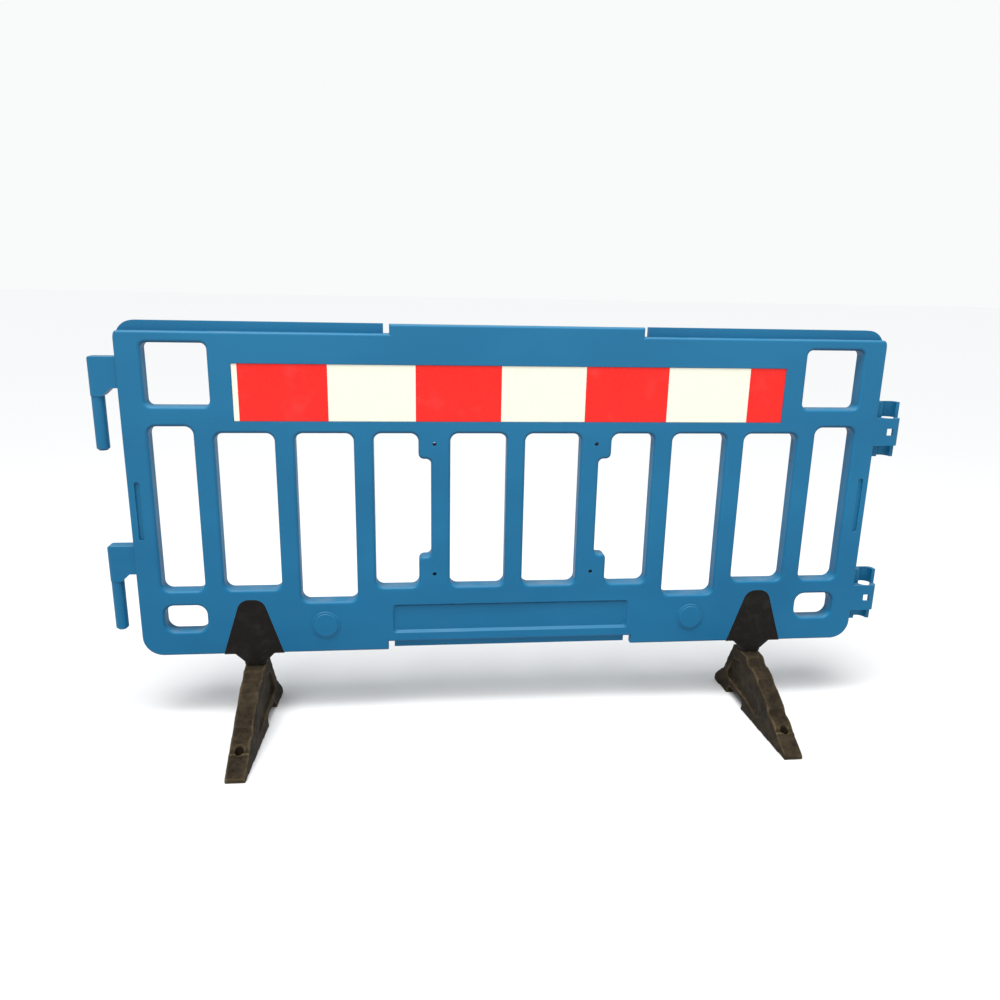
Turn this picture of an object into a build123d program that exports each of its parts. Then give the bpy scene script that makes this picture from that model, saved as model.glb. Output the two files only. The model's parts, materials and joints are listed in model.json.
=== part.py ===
from build123d import *
import os

# A plastic pedestrian barrier: a hollow moulded panel with slots, hooks and sockets, two bands of
# reflective sheeting, and two recycled-rubber feet that swivel on bolts under black brackets.
# X runs along the panel, the front faces -Y, and Z = 0 is the ground. The origin is the middle of
# the footprint. All sizes are in millimetres.

# ------------------------------------------------------------------ panel: driving dimensions
BODY_LENGTH = 1872.0        # panel without hooks and sockets
BODY_HEIGHT = 832.0         # panel from its lowest lap to its highest lap
BODY_THICKNESS = 44.0
GROUND_GAP = 180.0          # ground to the underside of the panel
TOP_CORNER_RADIUS = 42.0
BOTTOM_CORNER_RADIUS = 50.0
EDGE_ROUND = 6.0            # rounding of the panel's outer edges
WALL = 4.0                  # moulded wall of the hollow panel
CAVITY_BEVEL = 5.0          # keeps the wall even behind the rounded edges

SHOULDER_ROUND = 8.0        # where the front shoulder meets the panel's ends
LAP_HEIGHT = 23.0           # stacking laps along the top and bottom
LAP_CLEARANCE = 1.0
TOP_LAP_LENGTH = 618.0      # middle lap on top, front half of the thickness
BOTTOM_LAP_LENGTH = 614.0   # middle lap underneath, rear half of the thickness
LAP_NOTCH = 15.0            # gap at each end of a middle lap

# ------------------------------------------------------------------ openings
CENTRE_BAR = 46.0
BAR = 47.6
END_POST = 58.4
OUTER_SLOT_WIDTH = 103.6
MAIN_SLOTS = 4              # wide slots each side of the centre bar
SLOT_BOTTOM = 173.0         # above the panel's underside
DEEP_SLOT_BOTTOM = 137.5    # the third slot from the centre reaches lower
DEEP_SLOT = 2
SIGN_SLOT = 1               # the slot with lobes for the sign holes
SLOT_RADIUS = 20.0
OPENING_ROUND = 9.0         # rounding of every opening's edges, front and rear

TOP_RAIL = 26.5
WINDOW_WIDTH = 147.0
WINDOW_HEIGHT = 147.0
WINDOW_RADIUS = 14.0
WINDOW_TO_SLOT = 48.5
HAND_SLOT_BOTTOM = 64.0
HAND_SLOT_HEIGHT = 69.0
HAND_SLOT_RADIUS = 25.0

LOBE_REACH = 31.0
UPPER_LOBE_HEIGHT = 64.0
LOWER_LOBE_HEIGHT = 81.5
LOBE_RADIUS = 13.0
SIGN_HOLE_RADIUS = 5.0
SIGN_HOLE_FROM_TOP = 25.5   # below the slots' top
SIGN_HOLE_FROM_BOTTOM = 35.0

# ------------------------------------------------------------------ recesses, bosses, grooves
BAND_LENGTH = 1356.0
BAND_HEIGHT = 138.5
BAND_FROM_TOP = 71.0        # shoulder to the band
BAND_TO_SLOT = 28.5
BAND_DEPTH = 2.5
SHEETING_THICKNESS = 0.5
SHEETING_MARGIN = 1.5
SHEETING_BLOCK = 208.1
FIRST_STRIP = 14.2          # narrow white strip at the left end

BOSS_SPACING = 961.0
BOSS_CENTRE = 74.5
BOSS_DIAMETER = 73.0
BOSS_STEPS = ((0.0, 2.5), (5.5, 5.0))   # each step: in from the rim, height
BOSS_ROUND = 2.0
PLATE_LENGTH = 621.0        # shallow recess between the bosses
PLATE_BOTTOM = 47.0
PLATE_HEIGHT = 79.0
PLATE_DEPTH = 6.5
PLATE_BEVEL = 6.4
PLATE_RADIUS = 8.0
GROOVE_LENGTH = 148.0
GROOVE_WIDTH = 13.0
GROOVE_DEPTH = 5.0
GROOVE_FROM_SIDE = 23.4     # panel's end to the groove's middle

# ------------------------------------------------------------------ hooks and sockets
COUPLING_REACH = 66.0       # hooks and sockets past the panel's ends
COUPLING_SPACING = 458.5    # upper to lower
HOOK_TOP = 59.5             # shoulder to the top of the upper hook
HOOK_ARM_HEIGHT = 73.0
HOOK_THICKNESS = 33.0
HOOK_NOSE = 13.0            # rounding of the arm's outer end, seen from above
HOOK_EDGE = 1.5             # rounding of the arm's other outer edges
HOOK_CORNER = 6.0
HOOK_PIN_RADIUS = 15.0
HOOK_PIN_LENGTH = 130.0     # below the arm's heel
HOOK_HEEL = 18.5            # the arm's underside drops this far to the pin
HOOK_GAP = 16.0             # flat underside beside the panel
PIN_TIP_BEVEL = 5.0
SOCKET_BELOW_HOOK = 6.0     # socket top to the hook's heel
SOCKET_STRAPS = (40.0, 71.0, 32.0)   # rear, front and rear straps, from the top
SOCKET_CLEARANCE = 3.0      # around the pin
SOCKET_CENTRE = 39.0        # panel's end to the pin
STRAP_OVERLAP = 2.0         # each half strap reaches past the middle
SOCKET_CORNER = 14.0
PEEP_HOLE = 18.0            # square hole in the front strap

# ------------------------------------------------------------------ foot brackets
FOOT_SPACING = 1326.5
BRACKET_BASE = 150.0
BRACKET_HEIGHT = 146.5
BRACKET_TIP_RADIUS = 30.0
BRACKET_TIP_WIDTH = 56.0    # across the straight sides, at the tip's height
BRACKET_BACK_WALL = 6.0     # panel wall behind the bracket
BRACKET_FIT = 0.3
FUNNEL_WIDTH = 110.0
FUNNEL_HEIGHT = 26.0
NECK_WIDTH = 56.0
NECK_HEIGHT = 6.0
NECK_RADIUS = 15.0
BRACKET_SCREW_RADIUS = 2.5
SCREW_HEAD_RADIUS = 5.0
SCREW_HEAD_HEIGHT = 3.0
SCREW_LENGTH = 24.0
SCREW_PLACES = ((0.0, 112.0), (-38.0, 38.0), (38.0, 38.0))

# ------------------------------------------------------------------ pivot
BOLT_RADIUS = 6.0
PIVOT_CLEARANCE = 0.08      # running fit of the foot on its bolt
BOLT_CLEARANCE = 0.25       # bracket on its bolt
HEX_FLATS = 19.0
HEX_HEIGHT = 8.0
NUT_HEIGHT = 10.0
WASHER_RADIUS = 12.0
WASHER_THICKNESS = 2.5
RING_RADIUS = 20.0
RING_THICKNESS = 3.0
NUT_SEAT = 24.0             # the nut's washer above the panel's underside
BOLT_TIP = 6.0              # thread past the nut
BOLT_TIP_BEVEL = 1.0
NUT_POCKET_CLEARANCE = 0.6

# ------------------------------------------------------------------ feet
TOE_REACH = 320.0           # pivot to toe
HEEL_REACH = 108.0          # pivot to heel
TOE_WIDTH = 48.0
HEEL_WIDTH = 90.0
SIDE_DRAFT = 5.0            # degrees
ARCH_FRONT = 70.0           # arch under the foot, from the pivot
ARCH_REAR = 22.0
ARCH_HEIGHT = 24.0
ARCH_RADIUS = 16.0
HEAD_SEAT = 44.0            # the bolt head's washer above the ground
HEAD_WELL_RADIUS = 15.0
ANCHOR_REACH = 255.0        # pivot to the anchor hole
ANCHOR_RADIUS = 6.0
ANCHOR_SINK_RADIUS = 10.0
ANCHOR_SINK_FLOOR = 22.0    # above the ground
WEB_WIDTH = 50.0            # the foot's thickness between its side hollows
HEEL_RISE = 18.0
TOE_RISE = 10.0
HEEL_SLOPE = ((-76.0, 50.0), (-66.0, 58.0))
RIDGE_CROWN = 4.5           # how far each step of the ridge bulges
HOLLOW_RADIUS = 10.0

# ------------------------------------------------------------------ worked-out places
FOOT_LENGTH = TOE_REACH + HEEL_REACH
PIVOT_Y = FOOT_LENGTH / 2 - HEEL_REACH
FRONT_Y = PIVOT_Y - BODY_THICKNESS / 2
REAR_Y = FRONT_Y + BODY_THICKNESS
HALF = BODY_LENGTH / 2
BOTTOM = GROUND_GAP
TOP = BOTTOM + BODY_HEIGHT
SHOULDER = TOP - LAP_HEIGHT
MAIN_SLOT_WIDTH = (HALF - END_POST - OUTER_SLOT_WIDTH - MAIN_SLOTS * BAR - CENTRE_BAR / 2) / MAIN_SLOTS
BAND_TOP = SHOULDER - BAND_FROM_TOP
BAND_MIDDLE = BAND_TOP - BAND_HEIGHT / 2
SLOT_TOP = BAND_TOP - BAND_HEIGHT - BAND_TO_SLOT
SLOT_FLOOR = BOTTOM + SLOT_BOTTOM
WINDOW_TOP = SHOULDER - TOP_RAIL
WINDOW_FLOOR = WINDOW_TOP - WINDOW_HEIGHT
OUTER_SLOT_TOP = WINDOW_FLOOR - WINDOW_TO_SLOT
OUTER_SLOT_END = HALF - END_POST
FOOT_TOP = BOTTOM - FUNNEL_HEIGHT - NECK_HEIGHT - RING_THICKNESS
NEAR = 0.01                 # slack when faces and edges are picked by their place


def panel_plane(y):
    """A plane across the panel at depth y, whose own axes are X and Z and which faces the front."""
    return Plane(origin=(0, y, 0), x_dir=(1, 0, 0), z_dir=(0, -1, 0))


def faces_at(part, y):
    """The faces of a part whose middles lie at depth y."""
    return part.faces().filter_by_position(Axis.Y, y - NEAR, y + NEAR)


def edges_at(part, axis, place):
    """The edges of a part whose middles lie at a place along an axis."""
    return part.edges().filter_by_position(axis, place - NEAR, place + NEAR)


def slot_start(number):
    """Inner edge of a slot, counted outwards from the centre bar."""
    return CENTRE_BAR / 2 + number * (MAIN_SLOT_WIDTH + BAR)


def rounded_window(x_low, x_high, z_low, z_high, radius, grow):
    """A rounded rectangle, grown all round."""
    with Locations(((x_low + x_high) / 2, (z_low + z_high) / 2)):
        RectangleRounded(x_high - x_low + 2 * grow, z_high - z_low + 2 * grow, radius + grow)


def lobed_slot(grow):
    """The slot whose inner side steps round the two sign holes, on the +X side."""
    inner = slot_start(SIGN_SLOT) - grow
    outer = slot_start(SIGN_SLOT) + MAIN_SLOT_WIDTH + grow
    lobe = inner + LOBE_REACH
    low, high = SLOT_FLOOR - grow, SLOT_TOP + grow
    low_step, high_step = SLOT_FLOOR + LOWER_LOBE_HEIGHT - grow, SLOT_TOP - UPPER_LOBE_HEIGHT + grow
    corner, inside, outside = SLOT_RADIUS + grow, LOBE_RADIUS + grow, LOBE_RADIUS - grow
    points = [(outer, low), (outer, high), (lobe, high), (lobe, high_step),
              (inner, high_step), (inner, low_step), (lobe, low_step), (lobe, low)]
    radii = [corner, corner, corner, outside, inside, inside, outside, corner]
    with BuildLine() as outline:
        FilletPolyline(*points, radius=radii, close=True)
    make_face(outline.edges())


def draw_openings(grow=0.0):
    """Every opening through the panel, drawn on the +X side and mirrored."""
    for number in range(MAIN_SLOTS):
        start = slot_start(number)
        floor = BOTTOM + DEEP_SLOT_BOTTOM if number == DEEP_SLOT else SLOT_FLOOR
        if number != SIGN_SLOT:
            rounded_window(start, start + MAIN_SLOT_WIDTH, floor, SLOT_TOP, SLOT_RADIUS, grow)
    lobed_slot(grow)
    start = OUTER_SLOT_END - OUTER_SLOT_WIDTH
    rounded_window(start, OUTER_SLOT_END, SLOT_FLOOR, OUTER_SLOT_TOP, SLOT_RADIUS, grow)
    rounded_window(OUTER_SLOT_END - WINDOW_WIDTH, OUTER_SLOT_END, WINDOW_FLOOR, WINDOW_TOP,
                   WINDOW_RADIUS, grow)
    hand_floor = BOTTOM + HAND_SLOT_BOTTOM
    rounded_window(start, OUTER_SLOT_END, hand_floor, hand_floor + HAND_SLOT_HEIGHT,
                   HAND_SLOT_RADIUS, grow)
    mirror(about=Plane.YZ)


def draw_bracket(x, grow=0.0):
    """The triangle of a foot bracket above the panel's underside, around x."""
    base, tip = BRACKET_BASE / 2 + grow, BRACKET_TIP_WIDTH / 2 + grow
    top = BOTTOM + BRACKET_HEIGHT + grow
    with BuildLine() as outline:
        FilletPolyline((x - base, BOTTOM), (x - tip, top), (x + tip, top), (x + base, BOTTOM),
                       radius=BRACKET_TIP_RADIUS + grow)
        Line((x + base, BOTTOM), (x - base, BOTTOM))
    make_face(outline.edges())


def draw_body(inset=0.0):
    """The panel's outline, moved in all round."""
    side, low, high = HALF - inset, BOTTOM + inset, TOP - inset
    foot, head = BOTTOM_CORNER_RADIUS - inset, TOP_CORNER_RADIUS - inset
    points = [(-side, low), (side, low), (side, high), (-side, high)]
    with BuildLine() as outline:
        FilletPolyline(*points, radius=[foot, foot, head, head], close=True)
    make_face(outline.edges())


def block(x_range, y_range, z_range, mode=Mode.ADD):
    """A box given by its limits, for the part that is being built."""
    with BuildSketch(panel_plane(y_range[0])) as outline:
        with Locations((sum(x_range) / 2, sum(z_range) / 2)):
            Rectangle(x_range[1] - x_range[0], z_range[1] - z_range[0])
    extrude(outline.sketch, amount=y_range[0] - y_range[1], mode=mode)


def cut_laps():
    """Halves the thickness along the top and bottom edges, so that stacked panels interlock."""
    before = PIVOT_Y - LAP_CLEARANCE / 2
    behind = PIVOT_Y + LAP_CLEARANCE / 2
    front_half = (FRONT_Y, behind)
    rear_half = (before, REAR_Y)
    whole = (FRONT_Y, REAR_Y)
    rows = (((SHOULDER, TOP), TOP_LAP_LENGTH / 2, rear_half, front_half),
            ((BOTTOM, BOTTOM + LAP_HEIGHT), BOTTOM_LAP_LENGTH / 2, front_half, rear_half))
    for heights, middle, middle_cut, side_cut in rows:
        block((-middle, middle), middle_cut, heights, Mode.SUBTRACT)
        for low, high in ((-HALF, -middle - LAP_NOTCH), (middle + LAP_NOTCH, HALF)):
            block((low, high), side_cut, heights, Mode.SUBTRACT)
        for low in (-middle - LAP_NOTCH, middle):
            block((low, low + LAP_NOTCH), whole, heights, Mode.SUBTRACT)


def end_groove(side, grow=0.0):
    """The upright groove in an end post, level with the outer slot's middle."""
    with BuildSketch(panel_plane(FRONT_Y)) as outline:
        with Locations((side * (HALF - GROOVE_FROM_SIDE), (SLOT_FLOOR + OUTER_SLOT_TOP) / 2)):
            SlotOverall(GROOVE_LENGTH + 2 * grow, GROOVE_WIDTH + 2 * grow, rotation=90)
    extrude(outline.sketch, amount=-GROOVE_DEPTH - grow, mode=Mode.SUBTRACT)


# sign holes sit in the middle of the lobed posts
SIGN_HOLE_X = (slot_start(SIGN_SLOT) - BAR + slot_start(SIGN_SLOT) + LOBE_REACH) / 2
SIGN_HOLES = [(side * SIGN_HOLE_X, z) for side in (-1, 1)
              for z in (SLOT_FLOOR + SIGN_HOLE_FROM_BOTTOM, SLOT_TOP - SIGN_HOLE_FROM_TOP)]

# the foot's ridge steps down to the toe: start and end of each step, as shares of the toe's reach
# and of the foot's height; then the outline of the hollow in each side
CREST = 0.10
RIDGE = (((0.11, 0.99), (0.175, 0.955)), ((0.205, 0.885), (0.385, 0.81)),
         ((0.415, 0.735), (0.63, 0.515)), ((0.655, 0.425), (0.785, 0.335)), ((0.81, 0.265), (0.83, 0.25)))
HOLLOW = [(-44.0, 46.0), (-20.0, 0.74 * FOOT_TOP), (22.0, 0.81 * FOOT_TOP), (100.0, 0.64 * FOOT_TOP),
          (196.0, 0.25 * FOOT_TOP), (150.0, 27.0), (78.0, 39.0)]

# ------------------------------------------------------------------ the space inside the panel
with BuildPart() as cavity:
    with BuildSketch(panel_plane(FRONT_Y + WALL)):
        draw_body(WALL)
        with Locations((0, (BOTTOM + SHOULDER + LAP_HEIGHT) / 2)):
            Rectangle(BODY_LENGTH, SHOULDER - BOTTOM - LAP_HEIGHT - 2 * WALL, mode=Mode.INTERSECT)
    extrude(amount=2 * WALL - BODY_THICKNESS)
    with BuildSketch(panel_plane(FRONT_Y)):
        draw_openings(WALL)
    extrude(amount=-BODY_THICKNESS, mode=Mode.SUBTRACT)
    flat_faces = cavity.faces().filter_by(Axis.Y).sort_by(SortBy.AREA)[-2:]
    chamfer(flat_faces.edges(), CAVITY_BEVEL)
    for face_y, direction in ((FRONT_Y, -1), (REAR_Y, 1)):
        with BuildSketch(panel_plane(face_y)):
            with Locations((0, BAND_MIDDLE)):
                Rectangle(BAND_LENGTH + 2 * WALL, BAND_HEIGHT + 2 * WALL)
        extrude(amount=direction * (BAND_DEPTH + WALL), mode=Mode.SUBTRACT)
    plate_middle = BOTTOM + PLATE_BOTTOM + PLATE_HEIGHT / 2
    with BuildSketch(panel_plane(FRONT_Y)):
        with Locations((0, plate_middle)):
            Rectangle(PLATE_LENGTH + 2 * WALL, PLATE_HEIGHT + 2 * WALL)
    extrude(amount=-PLATE_DEPTH - WALL, mode=Mode.SUBTRACT)
    for side in (-1, 1):
        end_groove(side, grow=WALL)
        with BuildSketch(panel_plane(FRONT_Y)):
            draw_bracket(side * FOOT_SPACING / 2, WALL)
        extrude(amount=-BODY_THICKNESS, mode=Mode.SUBTRACT)


def hook(arm_top):
    """An arm with a rounded nose and, under its heel, a round pin that is flush with the nose."""
    underside = arm_top - HOOK_ARM_HEIGHT
    heel = underside - HOOK_HEEL
    end = -HALF - COUPLING_REACH
    pin_x = end + HOOK_PIN_RADIUS
    with BuildPart() as arm:
        with BuildSketch(panel_plane(PIVOT_Y - HOOK_THICKNESS / 2)):
            with BuildLine():
                Polyline((-HALF + EDGE_ROUND, arm_top), (end + HOOK_CORNER, arm_top),
                         (end, arm_top - HOOK_CORNER), (end, heel), (pin_x + HOOK_PIN_RADIUS, heel),
                         (-HALF - HOOK_GAP, underside), (-HALF + EDGE_ROUND, underside), close=True)
            make_face()
        extrude(amount=-HOOK_THICKNESS)
        fillet(arm.edges().filter_by(Axis.Z).group_by(Axis.X)[0], HOOK_NOSE)
        with BuildSketch(Plane.XY.offset(heel - HOOK_PIN_LENGTH)):
            with Locations((pin_x, PIVOT_Y)):
                Circle(HOOK_PIN_RADIUS)
        extrude(amount=HOOK_PIN_LENGTH)
        chamfer(edges_at(arm, Axis.Z, heel - HOOK_PIN_LENGTH), PIN_TIP_BEVEL)
        fillet(edges_at(arm, Axis.Z, arm_top), HOOK_EDGE)
    return arm.part


# ------------------------------------------------------------------ the panel
with BuildPart() as barrier_panel:
    with BuildSketch(panel_plane(FRONT_Y)):
        draw_body()
    extrude(amount=-BODY_THICKNESS)
    cut_laps()
    shoulder_ends = edges_at(barrier_panel, Axis.Z, SHOULDER).filter_by(Axis.Y).sort_by(Axis.X)
    fillet((shoulder_ends[0], shoulder_ends[-1]), SHOULDER_ROUND)
    with BuildSketch(panel_plane(FRONT_Y)):
        draw_openings()
    extrude(amount=-BODY_THICKNESS, mode=Mode.SUBTRACT)
    for face_y in (FRONT_Y, REAR_Y):
        flat_face = faces_at(barrier_panel, face_y).sort_by(SortBy.AREA)[-1]
        fillet([edge for wire in flat_face.inner_wires() for edge in wire.edges()], OPENING_ROUND)
    for face_y in (FRONT_Y, REAR_Y):
        flat_face = faces_at(barrier_panel, face_y).sort_by(SortBy.AREA)[-1]
        fillet(flat_face.outer_wire().edges(), EDGE_ROUND)
    add(cavity.part, mode=Mode.SUBTRACT)

    # recesses for the sheeting, front and rear
    for face_y, direction in ((FRONT_Y, -1), (REAR_Y, 1)):
        with BuildSketch(panel_plane(face_y)):
            with Locations((0, BAND_MIDDLE)):
                Rectangle(BAND_LENGTH, BAND_HEIGHT)
        extrude(amount=direction * BAND_DEPTH, mode=Mode.SUBTRACT)

    # plate recess with sloping sides, round bosses and end grooves on the front
    with BuildSketch(panel_plane(FRONT_Y)):
        with Locations((0, plate_middle)):
            RectangleRounded(PLATE_LENGTH, PLATE_HEIGHT, PLATE_RADIUS)
    with BuildSketch(panel_plane(FRONT_Y + PLATE_DEPTH)):
        with Locations((0, plate_middle)):
            Rectangle(PLATE_LENGTH - 2 * PLATE_BEVEL, PLATE_HEIGHT - 2 * PLATE_BEVEL)
            fillet(vertices(), PLATE_RADIUS)
    loft(mode=Mode.SUBTRACT)
    for inset, height in BOSS_STEPS:
        with BuildSketch(panel_plane(FRONT_Y)):
            with Locations(*[(side * BOSS_SPACING / 2, BOTTOM + BOSS_CENTRE) for side in (-1, 1)]):
                Circle(BOSS_DIAMETER / 2 - inset)
        extrude(amount=height)
        fillet(edges_at(barrier_panel, Axis.Y, FRONT_Y - height), BOSS_ROUND)
    for side in (-1, 1):
        end_groove(side)

    # hooks on the left end, each an arm with a round pin that hangs from it
    for upper in (True, False):
        arm_top = SHOULDER - HOOK_TOP - (0 if upper else COUPLING_SPACING)
        add(hook(arm_top))

    # sockets on the right end: half straps that take turns behind and in front of the pin
    socket_x = HALF + SOCKET_CENTRE
    for upper in (True, False):
        heel = SHOULDER - HOOK_TOP - HOOK_ARM_HEIGHT - HOOK_HEEL - (0 if upper else COUPLING_SPACING)
        strap_top = heel - SOCKET_BELOW_HOOK
        for number, height in enumerate(SOCKET_STRAPS):
            rear = number % 2 == 0
            near, far = (PIVOT_Y - STRAP_OVERLAP, REAR_Y) if rear else (FRONT_Y, PIVOT_Y + STRAP_OVERLAP)
            with BuildSketch(Plane.XY.offset(strap_top - height)):
                with Locations((HALF + (COUPLING_REACH - EDGE_ROUND) / 2, PIVOT_Y)):
                    Rectangle(COUPLING_REACH + EDGE_ROUND, BODY_THICKNESS)
                fillet(vertices().group_by(Axis.X)[-1], SOCKET_CORNER)
                with Locations((socket_x, PIVOT_Y)):
                    Circle(HOOK_PIN_RADIUS + SOCKET_CLEARANCE, mode=Mode.SUBTRACT)
                with Locations((socket_x, (near + far) / 2)):
                    Rectangle(4 * COUPLING_REACH, far - near, mode=Mode.INTERSECT)
            extrude(amount=height)
            if number == 1:
                middle = strap_top - height / 2
                hole = (socket_x - PEEP_HOLE / 2, socket_x + PEEP_HOLE / 2)
                block(hole, (FRONT_Y, PIVOT_Y), (middle - PEEP_HOLE / 2, middle + PEEP_HOLE / 2),
                      Mode.SUBTRACT)
            strap_top -= height

    # sign holes in the lobed posts
    with BuildSketch(panel_plane(FRONT_Y)):
        with Locations(*SIGN_HOLES):
            Circle(SIGN_HOLE_RADIUS + WALL)
    extrude(amount=-BODY_THICKNESS)
    with BuildSketch(panel_plane(FRONT_Y)):
        with Locations(*SIGN_HOLES):
            Circle(SIGN_HOLE_RADIUS)
    extrude(amount=-BODY_THICKNESS, mode=Mode.SUBTRACT)

    # pockets for the foot brackets, open to the front and underneath, with screw holes behind
    for side in (-1, 1):
        with BuildSketch(panel_plane(FRONT_Y)):
            draw_bracket(side * FOOT_SPACING / 2, BRACKET_FIT)
        extrude(amount=BRACKET_BACK_WALL - BODY_THICKNESS, mode=Mode.SUBTRACT)
        with BuildSketch(panel_plane(REAR_Y)):
            with Locations(*[(side * FOOT_SPACING / 2 + x, BOTTOM + z) for x, z in SCREW_PLACES]):
                Circle(BRACKET_SCREW_RADIUS + BRACKET_FIT)
        extrude(amount=BRACKET_BACK_WALL, mode=Mode.SUBTRACT)
os.makedirs("parts", exist_ok=True)
barrier_panel.part.label = "barrier_panel"
export_step(barrier_panel.part, "parts/barrier_panel.step")

# ------------------------------------------------------------------ reflective sheeting
band_start = SHEETING_MARGIN - BAND_LENGTH / 2
band_end = BAND_LENGTH / 2 - SHEETING_MARGIN
joints = [band_start, FIRST_STRIP - BAND_LENGTH / 2]
while joints[-1] + SHEETING_BLOCK < band_end:
    joints.append(joints[-1] + SHEETING_BLOCK)
joints.append(band_end)


def sheeting(y, first):
    """Every other block of a sheeting band whose front is at depth y."""
    with BuildPart() as band:
        for low, high in list(zip(joints, joints[1:]))[first::2]:
            block((low, high), (y, y + SHEETING_THICKNESS),
                  (BAND_MIDDLE - BAND_HEIGHT / 2 + SHEETING_MARGIN,
                   BAND_MIDDLE + BAND_HEIGHT / 2 - SHEETING_MARGIN))
    return band.part


for face, depth in (("front", FRONT_Y + BAND_DEPTH - SHEETING_THICKNESS), ("rear", REAR_Y - BAND_DEPTH)):
    for first, colour in enumerate(("white", "red")):
        band = sheeting(depth, first)
        band.label = f"{face}_{colour}_sheeting"
        export_step(band, f"parts/{face}_{colour}_sheeting.step")


# ------------------------------------------------------------------ brackets, bolts and feet
def screws(x):
    """Pan-head screws from behind the panel into a bracket whose middle is at x."""
    with BuildPart() as group:
        places = [(x + dx, BOTTOM + dz) for dx, dz in SCREW_PLACES]
        with BuildSketch(panel_plane(REAR_Y)) as shank:
            with Locations(*places):
                Circle(BRACKET_SCREW_RADIUS)
        extrude(shank.sketch, amount=SCREW_LENGTH)
        with BuildSketch(panel_plane(REAR_Y)) as head:
            with Locations(*places):
                Circle(SCREW_HEAD_RADIUS)
        extrude(head.sketch, amount=-SCREW_HEAD_HEIGHT)
        fillet(edges_at(group, Axis.Y, REAR_Y + SCREW_HEAD_HEIGHT), SCREW_HEAD_HEIGHT / 2)
    return group.part


def foot_bracket(x):
    """The black bracket: a triangle flush with the panel's face, a funnel and a neck."""
    with BuildPart() as bracket:
        with BuildSketch(panel_plane(FRONT_Y)) as triangle:
            draw_bracket(x)
        extrude(triangle.sketch, amount=BRACKET_BACK_WALL + BRACKET_FIT - BODY_THICKNESS)
        neck_top = BOTTOM - FUNNEL_HEIGHT
        depth = BODY_THICKNESS - 2 * BRACKET_FIT
        with BuildSketch(Plane.XY.offset(BOTTOM)) as wide:
            with Locations((x, PIVOT_Y)):
                RectangleRounded(FUNNEL_WIDTH, depth, NECK_RADIUS)
        with BuildSketch(Plane.XY.offset(neck_top)) as narrow:
            with Locations((x, PIVOT_Y)):
                RectangleRounded(NECK_WIDTH, depth, NECK_RADIUS)
        loft([wide.sketch, narrow.sketch])
        extrude(narrow.sketch, amount=-NECK_HEIGHT)
        seat = BOTTOM + NUT_SEAT
        pocket = WASHER_RADIUS + NUT_POCKET_CLEARANCE
        block((x - pocket, x + pocket), (PIVOT_Y - pocket, REAR_Y),
              (seat, seat + WASHER_THICKNESS + NUT_HEIGHT + BOLT_TIP + NUT_POCKET_CLEARANCE),
              Mode.SUBTRACT)
        with BuildSketch(Plane.XY.offset(neck_top - NECK_HEIGHT)) as bore:
            with Locations((x, PIVOT_Y)):
                Circle(BOLT_RADIUS + BOLT_CLEARANCE)
        extrude(bore.sketch, amount=seat - neck_top + NECK_HEIGHT, mode=Mode.SUBTRACT)
        with BuildSketch(panel_plane(REAR_Y)) as pilots:
            with Locations(*[(x + dx, BOTTOM + dz) for dx, dz in SCREW_PLACES]):
                Circle(BRACKET_SCREW_RADIUS)
        extrude(pilots.sketch, amount=SCREW_LENGTH, mode=Mode.SUBTRACT)
    return bracket.part


def washer(x, z, radius, bore, thickness):
    """A flat ring on the pivot's axis, standing on height z."""
    with BuildPart() as ring:
        with BuildSketch(Plane.XY.offset(z)) as outline:
            with Locations((x, PIVOT_Y)):
                Circle(radius)
                Circle(bore, mode=Mode.SUBTRACT)
        extrude(outline.sketch, amount=thickness)
    return ring.part


def pivot_bolt(x):
    """A hexagon bolt whose head sits under the foot and whose thread ends above the nut."""
    head_top = HEAD_SEAT - WASHER_THICKNESS
    tip = BOTTOM + NUT_SEAT + WASHER_THICKNESS + NUT_HEIGHT + BOLT_TIP
    with BuildPart() as bolt:
        with BuildSketch(Plane.XY.offset(head_top)) as shank:
            with Locations((x, PIVOT_Y)):
                Circle(BOLT_RADIUS)
        extrude(shank.sketch, amount=tip - head_top)
        chamfer(edges_at(bolt, Axis.Z, tip), BOLT_TIP_BEVEL)
        with BuildSketch(Plane.XY.offset(head_top)) as head:
            with Locations((x, PIVOT_Y)):
                RegularPolygon(HEX_FLATS / 2, 6, major_radius=False)
        extrude(head.sketch, amount=-HEX_HEIGHT)
    return bolt.part


def pivot_nut(x):
    """The hexagon nut in the bracket's pocket."""
    with BuildPart() as nut:
        with BuildSketch(Plane.XY.offset(BOTTOM + NUT_SEAT + WASHER_THICKNESS)) as outline:
            with Locations((x, PIVOT_Y)):
                RegularPolygon(HEX_FLATS / 2, 6, major_radius=False)
                Circle(BOLT_RADIUS, mode=Mode.SUBTRACT)
        extrude(outline.sketch, amount=NUT_HEIGHT)
    return nut.part


def ridge_point(along, up):
    """A point of the foot's side view, from shares of the toe's reach and of the foot's height."""
    return (along * TOE_REACH, up * FOOT_TOP)


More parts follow.
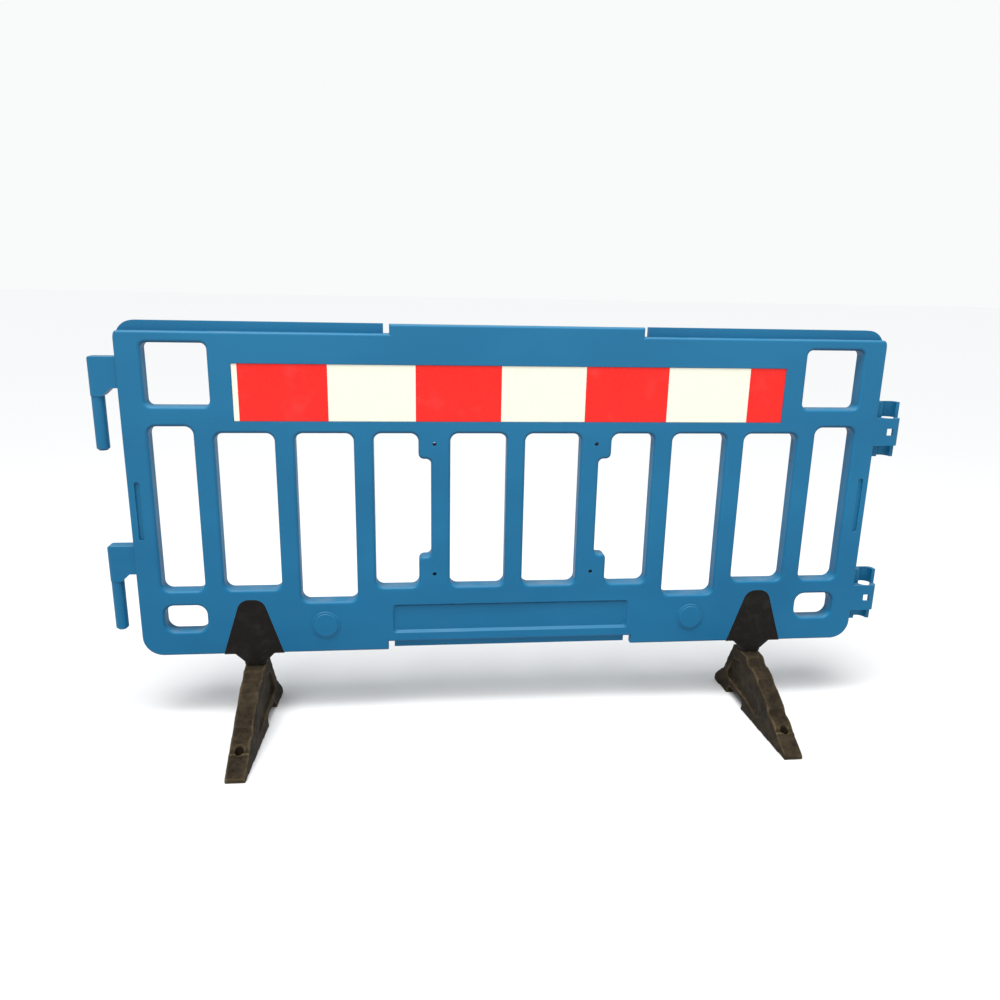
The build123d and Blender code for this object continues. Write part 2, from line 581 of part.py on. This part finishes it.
def foot(x):
    """A rubber foot: stepped ridge, drafted sides that are hollowed, an arch and an anchor hole."""
    side_plane = Plane(origin=(x, PIVOT_Y, 0), x_dir=(0, -1, 0), z_dir=(-1, 0, 0))
    with BuildPart() as body:
        with BuildSketch(side_plane) as profile:
            with BuildLine() as outline:
                Polyline((-HEEL_REACH, 0), (-HEEL_REACH, HEEL_RISE), *HEEL_SLOPE,
                         ridge_point(-CREST, 1), ridge_point(CREST, 1))
                last = ridge_point(CREST, 1)
                for start, end in RIDGE:
                    first = ridge_point(*start)
                    Line(last, first)
                    last = ridge_point(*end)
                    crown = ((first[0] + last[0]) / 2, (first[1] + last[1]) / 2 + RIDGE_CROWN)
                    ThreePointArc(first, crown, last)
                Polyline(last, (TOE_REACH, TOE_RISE), (TOE_REACH, 0), (ARCH_FRONT, 0))
                FilletPolyline((ARCH_FRONT, 0), (ARCH_FRONT, ARCH_HEIGHT), (-ARCH_REAR, ARCH_HEIGHT),
                               (-ARCH_REAR, 0), radius=ARCH_RADIUS)
                Line((-ARCH_REAR, 0), (-HEEL_REACH, 0))
            make_face(outline.edges())
        extrude(profile.sketch, amount=HEEL_WIDTH, both=True)
        with BuildSketch(Plane((x, PIVOT_Y, 0))) as plan:
            Polygon((-TOE_WIDTH / 2, -TOE_REACH), (TOE_WIDTH / 2, -TOE_REACH),
                    (HEEL_WIDTH / 2, HEEL_REACH), (-HEEL_WIDTH / 2, HEEL_REACH), align=None)
        extrude(plan.sketch, amount=FOOT_TOP, taper=SIDE_DRAFT, mode=Mode.INTERSECT)
        for direction in (-1, 1):
            with BuildSketch(side_plane.offset(direction * WEB_WIDTH / 2)) as hollow:
                with BuildLine() as rim:
                    FilletPolyline(*HOLLOW, radius=HOLLOW_RADIUS, close=True)
                make_face(rim.edges())
            extrude(hollow.sketch, amount=direction * HEEL_WIDTH, mode=Mode.SUBTRACT)
        for radius, low, high in ((BOLT_RADIUS + PIVOT_CLEARANCE, 0, FOOT_TOP),
                                  (HEAD_WELL_RADIUS, 0, HEAD_SEAT)):
            with BuildSketch(Plane.XY.offset(low)) as bore:
                with Locations((x, PIVOT_Y)):
                    Circle(radius)
            extrude(bore.sketch, amount=high - low, mode=Mode.SUBTRACT)
        for radius, low in ((ANCHOR_RADIUS, 0), (ANCHOR_SINK_RADIUS, ANCHOR_SINK_FLOOR)):
            with BuildSketch(Plane.XY.offset(low)) as bore:
                with Locations((x, PIVOT_Y - ANCHOR_REACH)):
                    Circle(radius)
            extrude(bore.sketch, amount=FOOT_TOP, mode=Mode.SUBTRACT)
    return body.part


seat = BOTTOM + NUT_SEAT
for name, side in (("left", -1), ("right", 1)):
    x = side * FOOT_SPACING / 2
    pieces = {
        "foot_bracket": foot_bracket(x),
        "bracket_screws": screws(x),
        "foot": foot(x),
        "swivel_ring": washer(x, FOOT_TOP, RING_RADIUS, BOLT_RADIUS + BOLT_CLEARANCE, RING_THICKNESS),
        "bolt_washer": washer(x, HEAD_SEAT - WASHER_THICKNESS, WASHER_RADIUS,
                              BOLT_RADIUS + BOLT_CLEARANCE, WASHER_THICKNESS),
        "nut_washer": washer(x, seat, WASHER_RADIUS, BOLT_RADIUS + BOLT_CLEARANCE, WASHER_THICKNESS),
        "pivot_bolt": pivot_bolt(x),
        "pivot_nut": pivot_nut(x),
    }
    for piece, shape in pieces.items():
        shape.label = f"{name}_{piece}"
        export_step(shape, f"parts/{name}_{piece}.step")
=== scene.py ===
import json
import math

import bmesh
import bpy
from mathutils import Matrix, Vector

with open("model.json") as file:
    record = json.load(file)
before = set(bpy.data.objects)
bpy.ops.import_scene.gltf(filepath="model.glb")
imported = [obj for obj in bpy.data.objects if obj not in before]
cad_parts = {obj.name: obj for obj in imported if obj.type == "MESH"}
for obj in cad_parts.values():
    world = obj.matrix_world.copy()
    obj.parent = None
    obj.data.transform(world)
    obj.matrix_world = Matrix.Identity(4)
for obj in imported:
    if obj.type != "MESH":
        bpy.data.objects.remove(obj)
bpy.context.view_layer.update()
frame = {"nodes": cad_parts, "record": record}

MM = 0.001


def place(name, data):
    """A new object, in the scene."""
    made = bpy.data.objects.new(name, data)
    bpy.context.scene.collection.objects.link(made)
    return made


# ------------------------------------------------------------------ camera
CAMERA_AT = Vector((-0.2518, -1.8799, 1.1107))
CAMERA_DOWN = 0.26116      # radians below the horizon
CAMERA_RIGHT = 0.10824     # radians to the right of straight ahead
CAMERA_ROLL = 0.0205       # radians about the line of sight
FOCAL_SHARE = 0.8126       # focal length over the image's width
SENSOR = 36.0              # the sensor's width in millimetres


def make_camera():
    """The camera, aimed by its three angles."""
    down, right, roll = CAMERA_DOWN, CAMERA_RIGHT, CAMERA_ROLL
    forward = Vector((math.sin(right) * math.cos(down),
                      math.cos(right) * math.cos(down),
                      -math.sin(down)))
    level = Vector((math.cos(right), -math.sin(right), 0.0))
    raised = level.cross(forward)
    side = level * math.cos(roll) + raised * math.sin(roll)
    up = raised * math.cos(roll) - level * math.sin(roll)
    data = bpy.data.cameras.new("camera")
    data.sensor_width = SENSOR
    data.lens = SENSOR * FOCAL_SHARE
    camera = place("camera", data)
    turn = Matrix((side, up, -forward)).transposed().to_4x4()
    camera.matrix_world = Matrix.Translation(CAMERA_AT) @ turn
    bpy.context.scene.camera = camera


# ------------------------------------------------------------------ material building blocks
EDGE_RADIUS = 2.5 * MM     # how far from an edge its wear reaches
EDGE_SAMPLES = 6
EDGE_TURN = (0.995, 0.90)  # cosine between real and rounded normal, on a flat and on an edge
CREST = (0.505, 0.56)      # pointiness of a flat and of an outward edge


class Nodes:
    """A material's node tree, with one short method for each kind of node that is used here.

    Methods take and give sockets. A colour may also be a tuple of red, green and blue. Scales
    are per metre and distances are in metres.
    """

    def __init__(self, name):
        self.material = bpy.data.materials.new(name)
        self.material.use_nodes = True
        self.tree = self.material.node_tree
        self.shader = self.tree.nodes["Principled BSDF"]
        self.place = self.tree.nodes.new("ShaderNodeTexCoord").outputs["Object"]

    def node(self, kind, **settings):
        made = self.tree.nodes.new(kind)
        for key, value in settings.items():
            setattr(made, key, value)
        return made

    def link(self, source, target):
        self.tree.links.new(source, target)

    def shade(self, **settings):
        """The shader's own settings, their names written with _ for a space."""
        for key, value in settings.items():
            self.shader.inputs[key.replace("_", " ")].default_value = value

    def scaled(self, scale):
        """Object coordinates stretched by three factors."""
        mapping = self.node("ShaderNodeMapping")
        mapping.inputs["Scale"].default_value = scale
        self.link(self.place, mapping.inputs["Vector"])
        return mapping.outputs["Vector"]

    def noise(self, scale, detail=4.0, roughness=0.55, stretch=None):
        made = self.node("ShaderNodeTexNoise")
        made.inputs["Scale"].default_value = scale
        made.inputs["Detail"].default_value = detail
        made.inputs["Roughness"].default_value = roughness
        self.link(self.scaled(stretch) if stretch else self.place, made.inputs["Vector"])
        return made.outputs["Fac"]

    def cells(self, scale, feature="F1"):
        made = self.node("ShaderNodeTexVoronoi", feature=feature)
        made.inputs["Scale"].default_value = scale
        self.link(self.place, made.inputs["Vector"])
        return made.outputs["Distance"]

    def band(self, value, low, high, start=0.0, end=1.0):
        """A value mapped from low..high to start..end, clamped."""
        made = self.node("ShaderNodeMapRange", clamp=True)
        numbers = {"From Min": low, "From Max": high, "To Min": start, "To Max": end}
        for name, number in numbers.items():
            made.inputs[name].default_value = number
        self.link(value, made.inputs["Value"])
        return made.outputs["Result"]

    def times(self, value, factor):
        """A value times another one, or times a plain number."""
        made = self.node("ShaderNodeMath", operation="MULTIPLY")
        self.link(value, made.inputs[0])
        if isinstance(factor, float):
            made.inputs[1].default_value = factor
        else:
            self.link(factor, made.inputs[1])
        return made.outputs["Value"]

    def mix(self, share, first, second):
        """The first colour where the share is 0, and the second where it is 1."""
        made = self.node("ShaderNodeMix", data_type="RGBA")
        for name, value in (("Factor", share), ("A", first), ("B", second)):
            socket = next(s for s in made.inputs if s.name == name and s.enabled)
            if isinstance(value, tuple):
                socket.default_value = (*value, 1.0)
            else:
                self.link(value, socket)
        return next(s for s in made.outputs if s.enabled)

    def cover(self, colour, where, share, over):
        """A colour with another over it, by a share of where, which runs from 0 to 1."""
        return self.mix(self.times(where, share), colour, over)

    def upward(self):
        """How far the surface faces up, from -1 to 1."""
        normal = self.node("ShaderNodeNewGeometry").outputs["Normal"]
        split = self.node("ShaderNodeSeparateXYZ")
        self.link(normal, split.inputs["Vector"])
        return split.outputs["Z"]

    def height(self):
        """The surface's height in the object's own coordinates."""
        split = self.node("ShaderNodeSeparateXYZ")
        self.link(self.place, split.inputs["Vector"])
        return split.outputs["Z"]

    def crests(self):
        """0 on flats and 1 along outward edges, for a dense mesh."""
        return self.band(self.node("ShaderNodeNewGeometry").outputs["Pointiness"], *CREST)

    def edges(self):
        """0 on flats and 1 along edges, for any mesh: where a rounded normal leaves the real one."""
        rounded = self.node("ShaderNodeBevel", samples=EDGE_SAMPLES)
        rounded.inputs["Radius"].default_value = EDGE_RADIUS
        turned = self.node("ShaderNodeVectorMath", operation="DOT_PRODUCT")
        self.link(rounded.outputs["Normal"], turned.inputs[0])
        self.link(self.node("ShaderNodeNewGeometry").outputs["Normal"], turned.inputs[1])
        return self.band(turned.outputs["Value"], *EDGE_TURN)

    def bump(self, value, distance, strength, below=None):
        """A normal with relief, on top of another normal if one is given."""
        made = self.node("ShaderNodeBump")
        made.inputs["Distance"].default_value = distance
        made.inputs["Strength"].default_value = strength
        self.link(value, made.inputs["Height"])
        if below:
            self.link(below, made.inputs["Normal"])
        return made.outputs["Normal"]

    def finish(self, colour, roughness, normal):
        self.link(colour, self.shader.inputs["Base Color"])
        self.link(roughness, self.shader.inputs["Roughness"])
        self.link(normal, self.shader.inputs["Normal"])
        return self.material


# ------------------------------------------------------------------ materials
BLUE = (0.004, 0.136, 0.282)
BLUE_DEEP = (0.002, 0.115, 0.248)
# painted shade: a dark blue for the panel's downward faces, which are turned away from the light
BLUE_PAINTED_SHADE = (0.001, 0.040, 0.100)
# painted light: a paler blue for the panel's upper part and upward faces, where light falls
BLUE_PAINTED_LIGHT = (0.060, 0.240, 0.400)
BLUE_SCUFF = (0.055, 0.22, 0.36)
DUST = (0.30, 0.29, 0.26)
RED = (0.86, 0.016, 0.010)
RED_DEEP = (0.76, 0.010, 0.008)
CREAM = (0.86, 0.855, 0.72)
CREAM_DEEP = (0.80, 0.79, 0.65)
BLACK = (0.0065, 0.0050, 0.0036)
BLACK_WORN = (0.022, 0.018, 0.014)
RUBBER = (0.020, 0.0132, 0.0054)
RUBBER_DARK = (0.010, 0.0066, 0.0036)
# dried mud and dust, also used as a painted highlight along the feet's crests
RUBBER_DUST_AND_HIGHLIGHT = (0.160, 0.115, 0.056)
RING = (0.03, 0.03, 0.03)
RING_WORN = (0.075, 0.07, 0.065)
ZINC = (0.62, 0.62, 0.60)
ZINC_DULL = (0.42, 0.42, 0.41)


def panel_plastic():
    """Moulded polyethylene: faint flow clouds, orange peel, fine scratches, dust on ledges, painted
    light towards the top and on upward faces, and painted shade on downward faces.
    """
    n = Nodes("panel_plastic")
    clouds = n.noise(2.2, 3.0, stretch=(1.0, 1.0, 2.0))
    colour = n.mix(n.band(clouds, 0.35, 0.65), BLUE_DEEP, BLUE)
    # Painted light: the panel is made paler towards its top, where more light falls.
    colour = n.cover(colour, n.band(n.height(), 0.2, 1.0), 0.22, BLUE_PAINTED_LIGHT)
    # Painted shade: downward-facing faces are made darker, as if shaded from the light above.
    colour = n.mix(n.band(n.upward(), -0.15, -0.85), colour, BLUE_PAINTED_SHADE)
    # Painted highlight: upward-facing faces and rims are made paler, as if lit from above.
    colour = n.cover(colour, n.band(n.upward(), 0.30, 0.75), 0.35, BLUE_PAINTED_LIGHT)
    scratches = n.band(n.noise(60.0, 6.0, 0.7, stretch=(0.35, 1.0, 4.0)), 0.66, 0.74)
    colour = n.cover(colour, scratches, 0.35, BLUE_SCUFF)
    scuffs = n.times(n.edges(), n.band(n.noise(35.0, 5.0), 0.42, 0.62))
    colour = n.cover(colour, scuffs, 0.6, BLUE_SCUFF)
    ledge = n.times(n.band(n.upward(), 0.75, 1.0), n.band(n.noise(18.0), 0.35, 0.7))
    colour = n.cover(colour, ledge, 0.28, DUST)
    rough = n.band(n.noise(9.0, 5.0), 0.3, 0.7, 0.40, 0.52)
    peel = n.bump(n.noise(230.0, 2.0), 0.0006, 0.35)
    waves = n.bump(n.noise(6.0, 2.0), 0.004, 0.25, peel)
    normal = n.bump(scratches, 0.0002, 0.3, waves)
    n.shade(Specular_IOR_Level=0.2)
    return n.finish(colour, rough, normal)


def sheeting(name, light, deep):
    """Retroreflective film: small sealed cells under a clear gloss face, a little grime."""
    n = Nodes(name)
    seams = n.band(n.cells(330.0, "DISTANCE_TO_EDGE"), 0.0, 0.09)
    colour = n.mix(seams, deep, light)
    grime = n.band(n.noise(14.0, 6.0, 0.65), 0.55, 0.85)
    colour = n.cover(colour, grime, 0.10, DUST)
    rough = n.band(n.noise(25.0), 0.3, 0.7, 0.22, 0.34)
    normal = n.bump(seams, 0.0002, 0.25)
    n.shade(Specular_IOR_Level=0.25, Coat_Weight=0.12, Coat_Roughness=0.12)
    return n.finish(colour, rough, normal)


def bracket_plastic():
    """Black moulded plastic with a fine spark texture and paler rubbed edges."""
    n = Nodes("bracket_plastic")
    rubbed = n.times(n.edges(), n.band(n.noise(40.0, 5.0), 0.35, 0.65))
    colour = n.cover(BLACK, rubbed, 0.7, BLACK_WORN)
    dust = n.band(n.noise(26.0, 6.0, 0.7), 0.5, 0.8)
    colour = n.cover(colour, dust, 0.05, DUST)
    rough = n.band(n.noise(60.0), 0.3, 0.7, 0.52, 0.68)
    normal = n.bump(n.noise(700.0, 3.0), 0.0004, 0.4)
    n.shade(Specular_IOR_Level=0.14)
    return n.finish(colour, rough, normal)


def foot_rubber():
    """Recycled rubber: granules, pits, dried mud, dust on ledges, and crests paled partly by rubbing
    and partly by a painted highlight.
    """
    n = Nodes("foot_rubber")
    granules = n.cells(260.0)
    colour = n.mix(n.band(granules, 0.15, 0.75), RUBBER, RUBBER_DARK)
    mud = n.band(n.noise(22.0, 7.0, 0.65), 0.45, 0.75)
    colour = n.cover(colour, mud, 0.20, RUBBER_DUST_AND_HIGHLIGHT)
    # Crests paled partly by rubbing and dust, and partly as a painted highlight along the rims.
    rubbed = n.times(n.crests(), n.band(n.noise(30.0, 5.0), 0.3, 0.6))
    colour = n.cover(colour, rubbed, 0.85, RUBBER_DUST_AND_HIGHLIGHT)
    ledge = n.times(n.band(n.upward(), 0.2, 0.9), n.band(n.noise(55.0, 5.0), 0.4, 0.7))
    colour = n.cover(colour, ledge, 0.14, RUBBER_DUST_AND_HIGHLIGHT)
    rough = n.band(n.noise(70.0, 5.0), 0.3, 0.7, 0.72, 0.92)
    grain = n.bump(granules, 0.0008, 0.5)
    normal = n.bump(n.noise(90.0, 6.0, 0.7), 0.0022, 0.6, grain)
    n.shade(Specular_IOR_Level=0.2)
    return n.finish(colour, rough, normal)


def ring_plastic():
    """Dark acetal, paler where it is worn."""
    n = Nodes("ring_plastic")
    wear = n.noise(80.0)
    colour = n.mix(n.band(wear, 0.4, 0.7), RING, RING_WORN)
    rough = n.band(wear, 0.3, 0.7, 0.35, 0.5)
    return n.finish(colour, rough, n.bump(wear, 0.0002, 0.3))


def zinc_steel():
    """Zinc plate: fine crystals, dulled in patches."""
    n = Nodes("zinc_steel")
    crystals = n.cells(420.0)
    colour = n.mix(n.band(n.noise(45.0, 5.0), 0.4, 0.7), ZINC, ZINC_DULL)
    colour = n.cover(colour, n.band(crystals, 0.2, 0.8), 0.25, ZINC_DULL)
    rough = n.band(crystals, 0.1, 0.8, 0.28, 0.42)
    n.shade(Metallic=1.0)
    return n.finish(colour, rough, n.bump(crystals, 0.0002, 0.2))


def dress_nodes():
    """Every CAD node gets its slot's material."""
    made = {
        "panel_plastic": panel_plastic(),
        "red_sheeting": sheeting("red_sheeting", RED, RED_DEEP),
        "white_sheeting": sheeting("white_sheeting", CREAM, CREAM_DEEP),
        "bracket_plastic": bracket_plastic(),
        "foot_rubber": foot_rubber(),
        "ring_plastic": ring_plastic(),
        "zinc_steel": zinc_steel(),
    }
    for part in frame["record"]["subparts"]:
        materials = frame["nodes"][part["node"]].data.materials
        materials.clear()
        materials.append(made[part["material_slot"]])


# ------------------------------------------------------------------ worn rubber
FEET = ("left_foot", "right_foot")
GRAIN = 2.5 * MM            # spacing of the worn surface's mesh
WEAR_ROUNDS = 7             # smoothing passes that round the edges off
WEAR_SHARE = 0.5            # how far a pass moves each point towards its neighbours
DENTS = ((0.045, 2.2 * MM), (0.012, 0.7 * MM))   # the uneven surface's two sizes and depths
DENT_MIDDLE = 0.5           # the grey that neither raises nor sinks the surface


def wear_feet():
    """Rubber that has been dragged about: edges rounded off and faces slightly uneven."""
    for name in FEET:
        foot = frame["nodes"][name]
        remesh = foot.modifiers.new("surface", "REMESH")
        remesh.mode = "VOXEL"
        remesh.voxel_size = GRAIN
        remesh.use_smooth_shade = True
        smooth = foot.modifiers.new("worn", "SMOOTH")
        smooth.factor = WEAR_SHARE
        smooth.iterations = WEAR_ROUNDS
        for number, (size, depth) in enumerate(DENTS):
            clouds = bpy.data.textures.new(f"dents_{number}", "CLOUDS")
            clouds.noise_scale = size
            dents = foot.modifiers.new(f"dents_{number}", "DISPLACE")
            dents.texture = clouds
            dents.texture_coords = "LOCAL"
            dents.strength = depth
            dents.mid_level = DENT_MIDDLE


# ------------------------------------------------------------------ floor and light
FLOOR_REACH = 60.0                       # from the middle to each side
FLOOR_COLOUR = (0.86, 0.86, 0.86, 1.0)
FLOOR_ROUGHNESS = 0.9
BACKDROP = (0.950, 0.955, 0.957, 1.0)    # what the camera sees past the floor
SKY = (0.95, 0.98, 1.0, 1.0)             # what lights the scene from all round
SKY_STRENGTH = 0.42
SUN_STRENGTH = 2.5
SUN_SPREAD = math.radians(40.0)          # wide, so that shadows are soft
SUN_TOWARDS = Vector((0.22, 0.42, -1.0))
OVERHEAD_POWER = 40.0
OVERHEAD_SIZE = (3.2, 0.8)
OVERHEAD_AT = Vector((0.0, -0.5, 2.9))
OVERHEAD_AIM = Vector((0.0, 0.1, 0.5))


def lay_floor():
    """A flat pale floor that reaches to the horizon."""
    mesh = bpy.data.meshes.new("floor")
    form = bmesh.new()
    corners = ((-1, -1), (1, -1), (1, 1), (-1, 1))
    form.faces.new([form.verts.new((x * FLOOR_REACH, y * FLOOR_REACH, 0.0)) for x, y in corners])
    form.to_mesh(mesh)
    form.free()
    place("floor", mesh)
    n = Nodes("floor")
    n.shade(Base_Color=FLOOR_COLOUR, Roughness=FLOOR_ROUGHNESS)
    mesh.materials.append(n.material)


def surround():
    """A world that the camera sees nearly white and that lights the scene more softly."""
    world = bpy.data.worlds.new("studio")
    world.use_nodes = True
    tree = world.node_tree
    seen = tree.nodes["Background"]
    seen.inputs["Color"].default_value = BACKDROP
    seen.inputs["Strength"].default_value = 1.0
    lit = tree.nodes.new("ShaderNodeBackground")
    lit.inputs["Color"].default_value = SKY
    lit.inputs["Strength"].default_value = SKY_STRENGTH
    path = tree.nodes.new("ShaderNodeLightPath")
    either = tree.nodes.new("ShaderNodeMixShader")
    tree.links.new(path.outputs["Is Camera Ray"], either.inputs["Fac"])
    tree.links.new(lit.outputs["Background"], either.inputs[1])
    tree.links.new(seen.outputs["Background"], either.inputs[2])
    tree.links.new(either.outputs["Shader"], tree.nodes["World Output"].inputs["Surface"])
    bpy.context.scene.world = world


def shine(lamp, direction):
    """Turns a lamp to shine along a direction."""
    lamp.rotation_euler = direction.to_track_quat("-Z", "Y").to_euler()


def hang_lights():
    """A broad sun for soft shadows, and a long area light over the panel."""
    sun = bpy.data.lights.new("sun", "SUN")
    sun.energy = SUN_STRENGTH
    sun.angle = SUN_SPREAD
    shine(place("sun", sun), SUN_TOWARDS)

    overhead = bpy.data.lights.new("overhead", "AREA")
    overhead.shape = "RECTANGLE"
    overhead.size, overhead.size_y = OVERHEAD_SIZE
    overhead.energy = OVERHEAD_POWER
    lamp = place("overhead", overhead)
    lamp.location = OVERHEAD_AT
    shine(lamp, OVERHEAD_AIM - OVERHEAD_AT)


make_camera()
dress_nodes()
wear_feet()
lay_floor()
surround()
hang_lights()
bpy.context.scene.view_settings.view_transform = "Standard"
